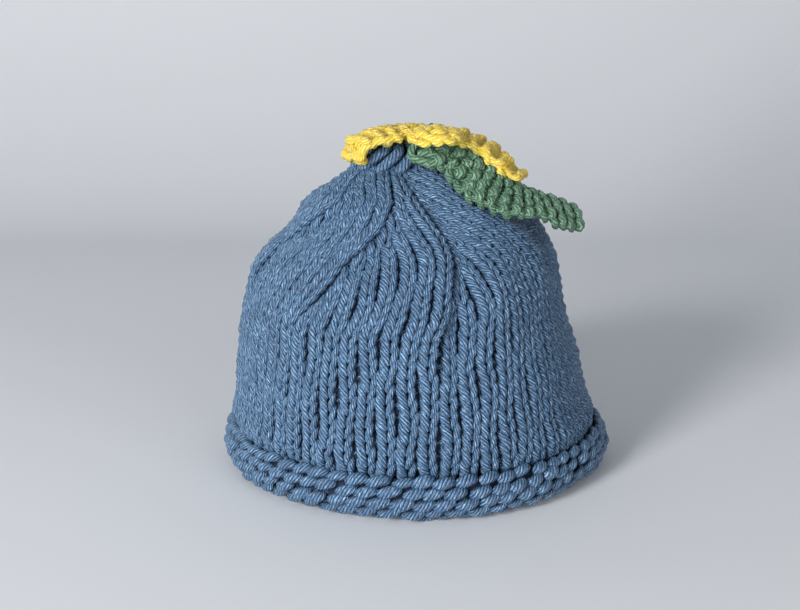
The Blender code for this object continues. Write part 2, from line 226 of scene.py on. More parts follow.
# The leaf's knitting: place along, its width as a share of the solid's, and how far it is shifted up.
LeafEdge = namedtuple("LeafEdge", "place spread lift")
LEAF_EDGES = (
    LeafEdge(0.0, 0.80, 3.6),
    LeafEdge(8.0, 0.70, 3.6),
    LeafEdge(15.0, 0.72, 4.4),
    LeafEdge(18.5, 1.02, 4.4),
    LeafEdge(25.6, 1.30, 2.4),
    LeafEdge(29.0, 1.21, 2.1),
    LeafEdge(36.0, 1.15, 0.4),
    LeafEdge(47.0, 0.80, 2.2),
    LeafEdge(54.0, 1.08, 0.5),
    LeafEdge(64.0, 1.10, 0.0),
)
# A strand of the gathered top: distance from the crown's axis, height and turn in degrees.
Gather = namedtuple("Gather", "reach height turn")
GATHER = (
    Gather(12.6, 101.0, -36.0),
    Gather(12.6, 106.3, -12.0),
    Gather(10.4, 111.0, 14.0),
    Gather(2.0, 113.6, 52.0),
)
GATHER_STRANDS, GATHER_YARN = 12, 1.95

# ---- Grounds behind the stitches, and the cloth's cut sizes -------------------------------------
BEHIND_WALL = -0.9            # how far the panels' ground lies from the cloth's middle, in mm
GROUND_ACROSS = np.linspace(-0.95, 0.95, 9)    # the flower's and the leaf's, as shares of half the width
# Cut sizes, in metres: width and length, then area.
Cut = namedtuple("Cut", "flat area")


def ease(t):
    """A smooth step from 0 to 1."""
    t = np.clip(t, 0.0, 1.0)
    return t * t * (3.0 - 2.0 * t)


def spline(rows, place):
    """Smooth curve through rows (Catmull-Rom) at fractional row numbers."""
    rows = np.asarray(rows, dtype=float)
    ends = np.concatenate([2 * rows[:1] - rows[1:2], rows, 2 * rows[-1:] - rows[-2:-1]])
    cell = np.clip(place.astype(int), 0, len(rows) - 2)
    f = (place - cell).reshape((-1,) + (1,) * (rows.ndim - 1))
    a, b, c, d = ends[cell], ends[cell + 1], ends[cell + 2], ends[cell + 3]
    return 0.5 * (2 * b + (c - a) * f + (2 * a - 5 * b + 4 * c - d) * f ** 2
                  + (3 * b - a - 3 * c + d) * f ** 3)


def turn_between(azimuth, other):
    """Radians from one azimuth to another, the short way round."""
    return np.radians((azimuth - other + 180.0) % 360.0 - 180.0)


def oval(azimuth, left, right, front):
    """Distance from the middle to an oval that is wider on one side than on the other."""
    s, c = math.sin(math.radians(azimuth)), math.cos(math.radians(azimuth))
    side = right if s > 0 else left
    return 1.0 / np.sqrt((s / side) ** 2 + (c / front) ** 2)


def fold(azimuth, height, reach):
    """How far the crown's cloth stands out (+) or sinks (-) at a place on it."""
    total = np.zeros_like(height)
    for line in LINES:
        at = np.interp(height, LINE_HEIGHTS, (line.low, line.shoulder, line.high))
        aside = turn_between(azimuth, at) * reach
        left = line.proud * np.exp(-(aside / PROUD_REACH) ** 2)
        right = -line.sunk * np.exp(-(aside / SUNK_REACH) ** 2)
        past = 0.5 + 0.5 * np.tanh(aside / LINE_STEP)
        total += ease((height - line.foot) / LINE_RISE) * (left * (1 - past) + right * past)
    around = np.exp(-(turn_between(azimuth, BULGE["azimuth"]) * reach / BULGE["reach"]) ** 2)
    upright = np.exp(-((height - BULGE["height"]) / BULGE["tall"]) ** 2)
    return total * ease(reach / LINE_FADE) + BULGE["proud"] * around * upright


def cloth_section(azimuth):
    """Middle of the cloth at one azimuth: distance from the crown's axis and height."""
    around = math.radians(azimuth)
    ring = (oval(azimuth, ROLL_X, ROLL_X, ROLL_Y) + HEM_WAVE * math.cos(HEM_WAVES * around)
            + HEM_RIPPLE * math.sin(HEM_RIPPLES * around))
    turn = np.radians(np.linspace(ROLL_FROM, ROLL_TO, ROLL_FACETS + 1))
    lift = ROLL_BEND + CLOTH / 2
    rise = ROLL_RISE * np.sin(np.maximum(turn, 0.0))
    roll = np.stack([ring + ROLL_BEND * np.cos(turn), lift + ROLL_BEND * np.sin(turn) + rise], axis=1)
    steps = np.linspace(0.0, len(BODY) - 1.0, BODY_STEPS + 1)
    height, left, right, front = spline(BODY, steps).T
    reach = oval(azimuth, left, right, front)
    wall = np.stack([reach, height], axis=1)
    run = np.gradient(wall, axis=0)
    run /= np.linalg.norm(run, axis=1)[:, None]
    wall -= CLOTH / 2 * np.stack([run[:, 1], -run[:, 0]], axis=1)
    wall[:, 0] += fold(azimuth, height, reach)
    return np.vstack([roll, wall])


class Sheet:
    """A surface that yarn is laid on.

    A kind of sheet gives its point(across, along) and half(along), half its width there; centre is
    where its middle line lies across.
    """

    NUDGE_ACROSS, NUDGE_ALONG = 0.3, 0.3
    centre = 0.0

    def outward(self, across, along):
        """Unit normals of the sheet."""
        a, b = self.NUDGE_ACROSS, self.NUDGE_ALONG
        over = self.point(across + a, along) - self.point(across - a, along)
        up = self.point(across, along + b) - self.point(across, along - b)
        normal = np.cross(over, up)
        return normal / np.linalg.norm(normal, axis=-1)[..., None]


class Cloth:
    """The cloth's middle surface, looked up by azimuth and by row number."""

    AZIMUTH_STEP, ROW_STEP = 0.5, 1.0 / 6.0

    def __init__(self):
        azimuths = np.arange(0.0, 360.0, self.AZIMUTH_STEP)
        rows = np.arange(0.0, ROWS + self.ROW_STEP, self.ROW_STEP)
        anchors = (0.0, HEM_ROWS, HEM_ROWS + WALL_ROWS, ROWS)
        table = []
        for azimuth in azimuths:
            section = cloth_section(azimuth)
            steps = np.linalg.norm(np.diff(section, axis=0), axis=1)
            length = np.concatenate([[0.0], np.cumsum(steps)])
            wall = ROLL_FACETS + 1
            shoulder = np.interp(SHOULDER, section[wall:, 1], length[wall:])
            along = np.interp(rows, anchors, (0.0, length[wall], shoulder, length[-1]))
            table.append(spline(section, np.interp(along, length, np.arange(len(length)))))
        self.table = np.array(table)

    def section(self, azimuth, row):
        """Distance from the crown's axis and height, at arrays of places."""
        across = (azimuth % 360.0) / self.AZIMUTH_STEP
        up = np.clip(row / self.ROW_STEP, 0.0, self.table.shape[1] - 1.001)
        i, j = np.floor(across).astype(int), np.floor(up).astype(int)
        f, g = (across - i)[..., None], (up - j)[..., None]
        i, k = i % len(self.table), (i + 1) % len(self.table)
        low = self.table[i, j] * (1 - f) + self.table[k, j] * f
        high = self.table[i, j + 1] * (1 - f) + self.table[k, j + 1] * f
        return low * (1 - g) + high * g

    def point(self, azimuth, row, centre):
        """Points of the cloth; centre is the azimuth of the panel's middle, 0 or 180."""
        reach, height = np.moveaxis(self.section(azimuth, row), -1, 0)
        across = np.clip((azimuth - centre) / 90.0, -1.0, 1.0)
        pull = np.zeros_like(reach)
        for slot, side in ((HANDLE_SLOT, -1.0), (SPOUT_SLOT, 1.0)):
            here = np.sin(np.radians(azimuth)) * side > 0
            along = np.clip((height - slot["low"]) / (slot["high"] - slot["low"]), 0.0, 1.0)
            pull += here * slot["half"] * np.sin(np.pi * along) ** SLOT_ROUND
        shift = np.sign(across) * pull * np.abs(across) ** SLOT_REACH / reach
        turned = np.radians(azimuth) - shift
        lean = ease((height - LEAN_FROM) / LEAN_RISE)
        return np.stack([reach * np.sin(turned) + LEAN_X * lean,
                         -reach * np.cos(turned) + LEAN_Y * lean, height], axis=-1)


class Panel(Sheet):
    """The front or the back of the cloth: across in degrees of azimuth, along in rows."""

    NUDGE_ACROSS, NUDGE_ALONG = 0.4, 0.12

    def __init__(self, cloth, centre):
        self.cloth, self.centre = cloth, centre

    def half(self, row):
        return np.full_like(row, 90.0)

    def point(self, azimuth, row):
        return self.cloth.point(azimuth, row, self.centre)


class LeafSheet(Sheet):
    """The leaf: across in mm from its middle, positive to the front, and along in mm."""

    STEPS = 120

    def __init__(self):
        rows = spline(LEAF, np.linspace(0.0, len(LEAF) - 1.0, self.STEPS + 1))
        run = np.gradient(rows[:, :3], axis=0)
        steps = np.linalg.norm(np.diff(rows[:, :3], axis=0), axis=1)
        self.length = np.concatenate([[0.0], np.cumsum(steps)])
        run /= np.linalg.norm(run, axis=1)[:, None]
        level = np.cross(run, (0.0, 0.0, 1.0))
        level /= np.linalg.norm(level, axis=1)[:, None]
        up = np.cross(level, run)
        tilt = np.radians(rows[:, 4:])
        across = np.cos(tilt) * level - np.sin(tilt) * up
        proud = np.sin(tilt) * level + np.cos(tilt) * up
        self.table = np.hstack([rows[:, :4], across, proud])

    def half(self, along):
        place, spread, _ = zip(*LEAF_EDGES)
        return np.interp(along, place, spread) * np.interp(along, self.length, self.table[:, 3])

    def point(self, across, along):
        places = [np.interp(along, self.length, column) for column in self.table.T]
        middle, half = np.stack(places[:3], axis=-1), places[3]
        aside, proud = np.stack(places[4:7], axis=-1), np.stack(places[7:], axis=-1)
        ends = (self.table[1, :3] - self.table[0, :3], self.table[-1, :3] - self.table[-2, :3])
        before, past = np.minimum(along, 0.0), np.maximum(along - self.length[-1], 0.0)
        middle = middle + before[..., None] * ends[0] / self.length[1]
        middle = middle + past[..., None] * ends[1] / (self.length[-1] - self.length[-2])
        cup = LEAF_CUP * (1.0 - np.minimum((across / half) ** 2, 1.5))
        place, _, lift = zip(*LEAF_EDGES)
        rise = np.interp(along, place, lift)
        return middle + aside * (across - rise)[..., None] + proud * cup[..., None]


def petal_blend(direction, values):
    """A value at a direction round the flower, blended between the neighbouring petals' values."""
    weights = [np.exp(PETAL_BLEND * (np.cos(np.radians(direction - petal.direction)) - 1.0))
               for petal in PETALS]
    return sum(w * v for w, v in zip(weights, values)) / sum(weights)


def flower_height(distance, direction):
    """Height of the flower's middle surface: dished at the centre, drooping at the petals."""
    dish = ease(distance / FLOWER["crest_at"]) * (FLOWER["crest"] - FLOWER["middle"])
    ruffle = RUFFLE * np.cos(np.radians(5.0 * (direction - PETALS[0].direction)))
    droop = petal_blend(direction, [petal.droop for petal in PETALS])
    past = np.maximum(0.0, distance - DROOP_FROM) / (DROOP_TO - DROOP_FROM)
    return FLOWER["middle"] + dish + ruffle * ease(distance / DROOP_TO) - droop * past ** PETAL_CURL


class PetalSheet(Sheet):
    """One petal: across in mm from its middle line and along in mm from the flower's middle."""

    def __init__(self, petal):
        self.petal = petal

    def half(self, along):
        """Half the petal's width: a wedge between its neighbours with a round end."""
        wedge = math.tan(math.pi / len(PETALS)) * along
        past = np.clip((along - PETAL_WIDEST) / (self.reach() - PETAL_WIDEST), 0.0, 1.0)
        widest = math.tan(math.pi / len(PETALS)) * PETAL_WIDEST * self.petal.broad
        return np.minimum(wedge, widest) * np.sqrt(np.maximum(1.0 - past ** 3.0, BLUNT))

    def reach(self):
        """The petal's length before its tip is curled."""
        curl = self.petal.curl
        return self.petal.length + curl * (CURL_TURN - 1.0)

    def point(self, across, along):
        curl = self.petal.curl
        turned = math.radians(self.petal.direction)
        past = np.maximum(along - (self.petal.length - curl), 0.0) if curl else along * 0.0
        round_it = past / max(curl, 0.1)
        along = along - past + curl * np.sin(round_it)
        fall = self.petal.fall * ease((along - FALL_FROM) / (self.petal.length - FALL_FROM) / 2.0) * 2.0
        under = curl * (1.0 - np.cos(round_it)) + fall
        x = along * math.cos(turned) - across * math.sin(turned)
        y = along * math.sin(turned) + across * math.cos(turned)
        height = flower_height(np.hypot(x, y), np.degrees(np.arctan2(y, x)))
        return np.stack([FLOWER["x"] + x, FLOWER["y"] + y, height - under], axis=-1)


# ---- Where each column of stitches runs ---------------------------------------------------------
class Columns:
    """Edges of the columns: each section is eaten at its left, so its columns run with its right."""

    STEP = 0.125

    def __init__(self, cloth):
        self.rows = np.arange(-1.0, ROWS + 1.0, self.STEP)
        self.edge = []
        self.reach = []
        for edge in EDGES:
            even = -90.0 + 360.0 / COLUMNS * edge.column
            reach, height = cloth.section(np.full_like(self.rows, even), self.rows).T
            height = np.maximum.accumulate(np.where(self.rows < HEM_ROWS, 0.0, height))
            drawn = np.interp(height, LINE_HEIGHTS, (edge.low, edge.shoulder, edge.high))
            share = ease((height - STRAIGHT_TO) / (DRAWN_BY - STRAIGHT_TO))
            self.edge.append(even + (drawn - even) * share)
            self.reach.append((reach, height))
        self.counts = []
        for i in range(len(EDGES) - 1):
            reach, height = self.reach[i]
            heights, ratios = zip(*STITCH_NARROWS)
            width = np.radians(self.edge[i + 1] - self.edge[i]) * reach
            stitches = width / np.interp(height, heights, ratios)
            at_wall = np.interp(SHOULDER, height, stitches)
            full = EDGES[i + 1].column - EDGES[i].column
            count = np.where(height < SHOULDER, full, full * stitches / at_wall)
            self.counts.append(np.maximum(np.minimum.accumulate(count), FEWEST))

    def stitches(self, row):
        """The stitches of one row, from left to right: (section, place from the right, is last)."""
        found = []
        for i, counts in enumerate(self.counts):
            number = max(1, int(round(np.interp(row + 0.5, self.rows, counts))))
            found += [(i, k, k == number - 1) for k in reversed(range(number))]
        return found

    def sides(self, stitch, row):
        """Azimuths of a stitch's left and right edges at arrays of row numbers."""
        i, place, last = stitch
        left = np.interp(row, self.rows, self.edge[i])
        right = np.interp(row, self.rows, self.edge[i + 1])
        width = (right - left) / np.interp(row, self.rows, self.counts[i])
        return (left if last else right - (place + 1) * width), right - place * width


# ---- Yarn as tubes ------------------------------------------------------------------------------
def loop_samples(loop):
    """The stitch's path, with its rings evenly between the bends."""
    after = [bend._replace(across=bend.across + 1.0) for bend in loop[:2]]
    before = [loop[-1]._replace(across=loop[-1].across - 1.0)]
    rows = np.array(before + list(loop) + after)
    steps = np.sort(np.concatenate([np.arange(len(loop)), np.array(HALFWAY) + 0.5]))
    return spline(rows, 1.0 + steps)


def yarn_tube(path, outward, wide, deep, twist=1.0):
    """A tube along a path: points, four-sided faces, and each corner's turn and length.

    Its broad side faces along outward, which is the cloth's normal at each ring; wide and deep
    are columns of half-widths, and twist tells how much tighter the plies turn.
    """
    along = np.gradient(path, axis=0)
    step = np.linalg.norm(np.diff(path, axis=0), axis=1)
    length = np.concatenate([[0.0], np.cumsum(step)]) * twist
    along /= np.linalg.norm(along, axis=1)[:, None]
    aside = np.cross(outward, along)
    aside /= np.linalg.norm(aside, axis=1)[:, None]
    proud = np.cross(along, aside)
    angle = 2 * np.pi * np.arange(SIDES) / SIDES
    ring = (aside[:, None] * np.cos(angle)[None, :, None] * wide[:, None]
            + proud[:, None] * np.sin(angle)[None, :, None] * deep[:, None])
    points = (path[:, None] + ring).reshape(-1, 3)
    first, side = np.meshgrid(np.arange(len(path) - 1), np.arange(SIDES), indexing="ij")
    after = (side + 1) % SIDES
    quads = np.stack([first * SIDES + side, first * SIDES + after,
                      (first + 1) * SIDES + after, (first + 1) * SIDES + side], axis=-1)
    turn = np.stack([side, side + 1, side + 1, side], axis=-1) / SIDES
    run = np.stack([length[first], length[first], length[first + 1], length[first + 1]], axis=-1)
    maps = np.stack([turn, run], axis=-1)
    ends = [list(range(SIDES))[::-1], [(len(path) - 1) * SIDES + k for k in range(SIDES)]]
    return points, quads.reshape(-1, 4), maps.reshape(-1, 4, 2), ends


def make_piece(name, tubes, material):
    """One mesh from several tubes, with the yarn's turn and length as a UV map."""
    points, quads, maps, ends, start = [], [], [], [], 0
    for tube_points, tube_quads, tube_maps, tube_ends in tubes:
        points.append(tube_points)
        quads.append(tube_quads + start)
        maps.append(tube_maps)
        ends += [[corner + start for corner in end] for end in tube_ends]
        start += len(tube_points)
    points, quads, maps = np.concatenate(points), np.concatenate(quads), np.concatenate(maps)
    points[:, 2] = np.maximum(points[:, 2], 0.0)
    corners = np.concatenate([quads.ravel(), np.array(ends, dtype=int).ravel()])
    starts = np.concatenate([np.arange(len(quads)) * 4,
                             quads.size + np.arange(len(ends)) * SIDES])
    mesh = bpy.data.meshes.new(name)
    mesh.vertices.add(len(points))
    mesh.vertices.foreach_set("co", (points * MM).ravel())
    mesh.loops.add(len(corners))
    mesh.loops.foreach_set("vertex_index", corners)
    mesh.polygons.add(len(starts))
    mesh.polygons.foreach_set("loop_start", starts)
    yarn_map = mesh.uv_layers.new(name="yarn")
    flat = np.zeros((len(corners), 2))
    flat[:quads.size] = maps.reshape(-1, 2)
    yarn_map.uv.foreach_set("vector", flat.ravel())
    mesh.update(calc_edges=True)
    mesh.validate()
    mesh.shade_smooth()
    mesh.materials.append(material)
    piece = bpy.data.objects.new(name, mesh)
    bpy.context.collection.objects.link(piece)
    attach(piece, "root")
    return piece


def further_in(row):
    """How much further in the yarn lies: fully inside the roll, and not at all on the wall."""
    return ROLL_OUT * (1.0 - ease((row - HEM_ROWS + ROLL_OUT_ROWS) / ROLL_OUT_ROWS))


def knit_rows(panel, columns, first, last, rng):
    """One yarn knitted back and forth over rows first to last-1 of a panel."""
    plain, rolled = loop_samples(LOOP), loop_samples(HEM_LOOP)
    strand = []
    for row in range(first, last):
        stitches = columns.stitches(row)
        middle = [np.mean(columns.sides(s, np.array([row + 0.5]))) for s in stitches]
        own = [(s, m) for s, m in zip(stitches, middle)
               if abs((m - panel.centre + 180.0) % 360.0 - 180.0) < 90.0]
        order = sorted(own, key=lambda pair: (pair[1] - panel.centre + 180.0) % 360.0)
        parts = []
        in_roll = 1.0 - ease((row - HEM_ROWS + ROLLED_FROM) / ROLLED_ROWS)
        shown = -1.0 if in_roll > 0.5 else 1.0        # the face that is seen
        across, up, out, yarn_wide, yarn_deep = (plain + (rolled - plain) * in_roll).T
        uneven = np.array(PLAIN_UNEVEN) + np.array(ROLL_UNEVEN) * in_roll
        for stitch, _ in order:
            section, number, _ = stitch
            at = row + 0.5 + up
            left, right = columns.sides(stitch, at)
            wave = at * STRAY[0] + STRAY[1] * section + STRAY[2] * number
            stray = WANDER * np.sin(wave) + rng.normal(0.0, SHAKE)
            azimuth = left + (across + 0.5) * (right - left) + stray
            skewed = np.clip(HEM_ROWS - SKEW_ENDS - at, 0.0, None)
            azimuth = azimuth + HEM_SKEW * 360.0 / COLUMNS * skewed
            reach = panel.cloth.section(azimuth, at)[:, 0]
            width = np.radians(np.mean(right - left)) * np.mean(reach)
            squeeze = np.clip(width / FULL_WIDTH, 0.5, 1.0)
            size, lift, shift = rng.normal(0.0, uneven)
            place = panel.point(azimuth, at + shift)
            normal = panel.outward(azimuth, at)
            proud = out + further_in(at) + lift
            parts.append(np.column_stack([place + normal * proud[:, None], normal * shown,
                                          yarn_wide * (1.0 + size) * squeeze, yarn_deep * (1.0 + size)]))
        strand += [part[::-1] for part in reversed(parts)] if row % 2 else parts
    twist = HEM_TWIST if first == 0 else 1.0
    return yarn_tube(*np.split(np.concatenate(strand), (3, 6, 7), axis=1), twist)


def knit_garter(sheet, start, end, knit, rng):
    """One yarn knitted back and forth in garter stitch, from start to end mm along the sheet."""
    across, up, out, wide, deep = loop_samples(GARTER).T
    strand = []
    for row in range(int((end - start) / knit.pitch)):
        at = start + (row + 0.5 + up) * knit.pitch
        half = sheet.half(start + (row + 0.5) * knit.pitch)
        count = max(1, int(round(2.0 * half / knit.stitch)))
        face = 1.0 if row % 2 else -1.0
        parts = []
        for k in range(count):
            aside = half * (-1.0 + 2.0 * (k + 0.5 + across) / count) + rng.normal(0.0, GARTER_ASIDE)
            along = at + rng.normal(0.0, GARTER_ALONG)
            size = knit.yarn * (1.0 + rng.normal(0.0, GARTER_SIZE))
            normal = sheet.outward(aside, along)
            proud = face * out + rng.normal(0.0, GARTER_LIFT)
            place = sheet.point(aside, along) + normal * proud[:, None]
            parts.append(np.column_stack([place, normal, wide * size, deep * size]))
        strand += [part[::-1] for part in reversed(parts)] if row % 2 else parts
    return yarn_tube(*np.split(np.concatenate(strand), (3, 6, 7), axis=1), knit.twist)


def lay_yarn(points, outward, radius, rings):
    """One length of yarn along a smooth curve through points, with outward at each of them."""
    steps = np.linspace(0.0, len(points) - 1.0, rings)
    path, facing = spline(points, steps), spline(outward, steps)
    size = np.full((rings, 1), radius)
    return yarn_tube(path, facing, size, size)


def bind_off(sheet):
    """The strand that closes a petal's edge, from its root on one side round the tip to the other."""
    along = np.linspace(BOUND_FROM, sheet.reach() - BOUND_TURN, 6)
    side = np.concatenate([-np.ones_like(along), [0.0], np.ones_like(along)])
    along = np.concatenate([along, [sheet.reach()], along[::-1]])
    aside = side * (sheet.half(along) - BOUND_INSET)
    return lay_yarn(sheet.point(aside, along), sheet.outward(aside, along), BOUND_YARN, rings=80)


# ---- Finishes -----------------------------------------------------------------------------------
class Number:
    """A value that varies over a surface; arithmetic on it adds Math nodes."""

    def __init__(self, finish, link):
        self.finish, self.link = finish, link

    def maths(self, operation, *others):
        """A Math node on this value and others."""
        return self.finish.add("ShaderNodeMath", dict(operation=operation),
                               dict(enumerate((self,) + others)))

    def __add__(self, other):
        return self.maths("ADD", other)

    def __sub__(self, other):
        return self.maths("SUBTRACT", other)

    def __rsub__(self, other):
        return self.maths("MULTIPLY_ADD", -1.0, other)

    def __mul__(self, other):
        return self.maths("MULTIPLY", other)

    def __truediv__(self, other):
        return self.maths("DIVIDE", other)

    def __pow__(self, other):
        return self.maths("POWER", other)

    def __abs__(self):
        return self.maths("ABSOLUTE")

    __radd__, __rmul__ = __add__, __mul__

    def sine(self):
        return self.maths("SINE")

    def cosine(self):
        return self.maths("COSINE")

    def clamped(self):
        return self.finish.add("ShaderNodeClamp", None, {0: self})

    def shown(self, ramp):
        """How much of a pattern shows: nothing up to its start, then more and more."""
        return ((self - ramp.start) * ramp.slope).clamped() * ramp.share


class Finish:
    """A material and its nodes."""

    def __init__(self, name, constants):
        self.material = bpy.data.materials.new(name)
        self.material.use_nodes = True
        self.nodes = self.material.node_tree.nodes
        self.shader = self.nodes["Principled BSDF"]
        for socket, value in constants.items():
            self.shader.inputs[socket].default_value = value

    def add(self, kind, settings=None, values=None, output=0):
        """Adds a node: its settings first, then its sockets' values or links."""
        node = self.nodes.new(kind)
        for name, value in (settings or {}).items():
            setattr(node, name, value)
        for socket, value in (values or {}).items():
            if isinstance(value, Number):
                self.material.node_tree.links.new(value.link, node.inputs[socket])
            else:
                node.inputs[socket].default_value = value
        return Number(self, node.outputs[output])

    def blend(self, factor, first, second):
        """A colour between two colours."""
        return self.add("ShaderNodeMix", dict(data_type="RGBA"), {0: factor, 6: first, 7: second}, 2)

    def feed(self, socket, value):
        """Links a varying value to one of the shader's sockets."""
        self.material.node_tree.links.new(value.link, self.shader.inputs[socket])


def shade(colour, lightness):
    """A colour made lighter or darker."""
    return tuple(min(1.0, c * lightness) for c in colour) + (1.0,)


# A yarn's own colour, its painted shade in the valleys between the plies and on its flanks, and its
# painted glint of fibres in the light (also its sheen's tint); its plies and the mm in which they go
# once round; how much painted shade darkens its flanks down in the cloth.
Yarn = namedtuple("Yarn", "colour deep bright plies lead crevice")
BLUE = Yarn((0.098, 0.206, 0.375), (0.009, 0.022, 0.060, 1.0), (0.31, 0.54, 0.79, 1.0), 7, 11.2, 0.95)
YELLOW = Yarn((1.0, 0.85, 0.09), (0.92, 0.54, 0.015, 1.0), (1.0, 1.0, 0.50, 1.0), 5, 13.0, 0.22)
GREEN = Yarn((0.135, 0.285, 0.175), (0.03, 0.08, 0.045, 1.0), (0.34, 0.58, 0.40, 1.0), 5, 13.0, 0.4)
# The cloth's grounds, in the yarns' shadow: dark colours that paint that shade in the gaps between stitches.
SHADED_BLUE_GROUND, SHADED_YELLOW_GROUND, SHADED_GREEN_GROUND = (0.009, 0.017, 0.042), (0.30, 0.13, 0.004), (0.02, 0.06, 0.035)
# Streaks of noise that run with the plies: how fine they are round the yarn and along it.
Streaks = namedtuple("Streaks", "round along scale detail")
FIBRES, TONES = Streaks(1.25, 0.30, 2.6, 3.0), Streaks(0.5, 0.20, 2.0, 1.0)
PLY_HEIGHT = 0.00035          # of the bump, in metres
# Where a pattern starts to show, how steeply it comes in and its share at its fullest.
Ramp = namedtuple("Ramp", "start slope share")
# GLINT is painted highlight: glints of fibres in the light.
GLINT, TONED, WORN = Ramp(0.47, 7.0, 1.0), Ramp(0.40, 4.0, 0.6), Ramp(0.42, 3.0, 0.35)
BODY_SHADE, TONE_SHADE, WORN_SHADE = 0.62, 0.8, 0.5    # lightness of the yarn's own colour in them
PLY_ROUND, VALLEY_SHADE = 0.6, 1.1           # powers: how round a ply is, how narrow the painted shade beside it
FUZZ = 1.2                    # how far the fibres stand out, by a ply's height
FLANK_SHADE_FROM, FLANK_SHADE_SLOPE = 0.72, 1.05   # how high the painted shade comes up a yarn's flanks, how steeply


def plied_yarn(name, yarn):
    """Soft plied acrylic: round plies with painted shade in their valleys, and fibres with painted glints
    where they catch the light.

    Painted shade darkens the yarn's flanks and back towards the cloth, where little light comes.
    """
    finish = Finish(name, {"Roughness": 0.42, "Sheen Weight": 0.2, "Sheen Roughness": 0.4,
                           "Sheen Tint": yarn.bright, "Specular IOR Level": 0.45})
    place = finish.add("ShaderNodeUVMap", dict(uv_map="yarn"))
    turn = finish.add("ShaderNodeSeparateXYZ", None, {0: place}, 0)
    length = finish.add("ShaderNodeSeparateXYZ", None, {0: place}, 1)
    twisted = turn + length / yarn.lead
    ply = abs((twisted * (math.pi * yarn.plies)).sine())
    helix = twisted * (2 * math.pi)
    outward = (turn * (2 * math.pi)).sine()

    def along_the_plies(streaks):
        """Noise in streaks that run with the plies."""
        where = finish.add("ShaderNodeCombineXYZ", None,
                           {0: helix.cosine() * streaks.round, 1: helix.sine() * streaks.round,
                            2: length * streaks.along})
        return finish.add("ShaderNodeTexNoise", None, {"Vector": where, "Scale": streaks.scale,
                                                       "Detail": streaks.detail, "Roughness": 0.6})

    fibre = along_the_plies(FIBRES)
    tone = along_the_plies(TONES)
    patch_place = finish.add("ShaderNodeTexCoord", None, None, 3)
    patch = finish.add("ShaderNodeTexNoise", None, {"Vector": patch_place, "Scale": 110.0, "Detail": 3.0})
    round_ply = ply ** PLY_ROUND
    # Painted highlights: glints of fibres in the light, where the fibre noise is high.
    body = finish.blend(fibre.shown(GLINT), shade(yarn.colour, BODY_SHADE), yarn.bright)
    toned = finish.blend(tone.shown(TONED), body, shade(yarn.colour, TONE_SHADE))
    worn = finish.blend(patch.shown(WORN), toned, shade(yarn.colour, WORN_SHADE))
    # Painted shade in the valleys between the plies.
    ply_valley_shade = (1.0 - ply) ** VALLEY_SHADE
    plied = finish.blend(ply_valley_shade, worn, yarn.deep)
    # Painted shade: the yarn's flanks and back darken towards the cloth.
    sunk = ((FLANK_SHADE_FROM - outward) * FLANK_SHADE_SLOPE).clamped()
    finish.feed("Base Color", finish.blend(sunk * yarn.crevice, plied, yarn.deep))
    bump = finish.add("ShaderNodeBump", None, {"Strength": 1.0, "Distance": PLY_HEIGHT,
                                               "Height": round_ply + fibre * FUZZ})
    finish.feed("Normal", bump)
    return finish.material


def plain_cloth(name, colour):
    """The cloth's ground behind the stitches, seen only in the gaps between them, in painted shade."""
    finish = Finish(name, {"Roughness": 0.95})
    place = finish.add("ShaderNodeTexCoord", None, None, 3)
    fleck = finish.add("ShaderNodeTexNoise", None, {"Vector": place, "Scale": 900.0, "Detail": 2.0})
    finish.feed("Base Color", finish.blend(fleck, shade(colour, 0.7), shade(colour, 1.3)))
    return finish.material


# ---- Pieces -------------------------------------------------------------------------------------
def make_ground(name, sheet, across, along, depth, material):
    """A thin sheet just behind the stitches: a grid over across, in shares of half its width, and along."""
    fraction, run = np.meshgrid(across, along, indexing="ij")
    aside = sheet.centre + fraction * sheet.half(run)
    point = sheet.point(aside, run) + sheet.outward(aside, run) * depth(run)[..., None]
    point[..., 2] = np.maximum(point[..., 2], 0.0)
    wide, long = aside.shape
    corner = (np.arange(wide - 1)[:, None] * long + np.arange(long - 1)[None, :]).ravel()
    quads = np.stack([corner, corner + long, corner + long + 1, corner + 1], axis=1)
    mesh = bpy.data.meshes.new(name)
    mesh.from_pydata((point * MM).reshape(-1, 3), [], quads.tolist())
    mesh.shade_smooth()
    mesh.materials.append(material)
    ground = bpy.data.objects.new(name, mesh)
    bpy.context.collection.objects.link(ground)
    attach(ground, "root")
    return ground


def behind_stitches(row):
    """How far the ground lies from the cloth's middle: inside the roll, then just behind the wall."""
    share = further_in(row) / ROLL_OUT
    return share * ROLL_OUT + (1.0 - share) * BEHIND_WALL


def on_middle(along):
    """The ground of the flower and the leaf lies on their middle surface."""
    return np.zeros_like(along)


def make_panel(name, node, panel, columns, yarn, ground, rng):
    """One side of the cosy: its hem, wall and crown, each knitted from one yarn, on a ground."""
    bands = (("hem", 0, HEM_ROWS), ("wall", HEM_ROWS, HEM_ROWS + WALL_ROWS),
             ("crown", HEM_ROWS + WALL_ROWS, ROWS))
    for band, first, last in bands:
        tube = knit_rows(panel, columns, first, last, rng)
        piece = make_piece(f"{name}_{band}_stitches", [tube], yarn)
    across, along = np.linspace(-1.0, 1.0, 73), np.linspace(0.4, ROWS - 0.2, 90)
    sheet = make_ground(f"{name}_cloth", panel, across, along, behind_stitches, ground)
    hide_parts(node)


def make_gather(yarn):
    """The last stitches, drawn up on the yarn's end and folded over the top."""
    tubes = []
    for k in range(GATHER_STRANDS):
        points, facing = [], []
        for reach, height, turn in GATHER:
            turned = math.radians(turn + 360.0 * k / GATHER_STRANDS)
            out = np.array([math.sin(turned), -math.cos(turned), 0.0])
            points.append(np.array([LEAN_X, LEAN_Y, height]) + out * reach)
            facing.append(out + np.array([0.0, 0.0, (height - GATHER[0].height) / reach]))
        tubes.append(lay_yarn(points, np.array(facing), GATHER_YARN, rings=16))
    piece = make_piece("gathered_top", tubes, yarn)


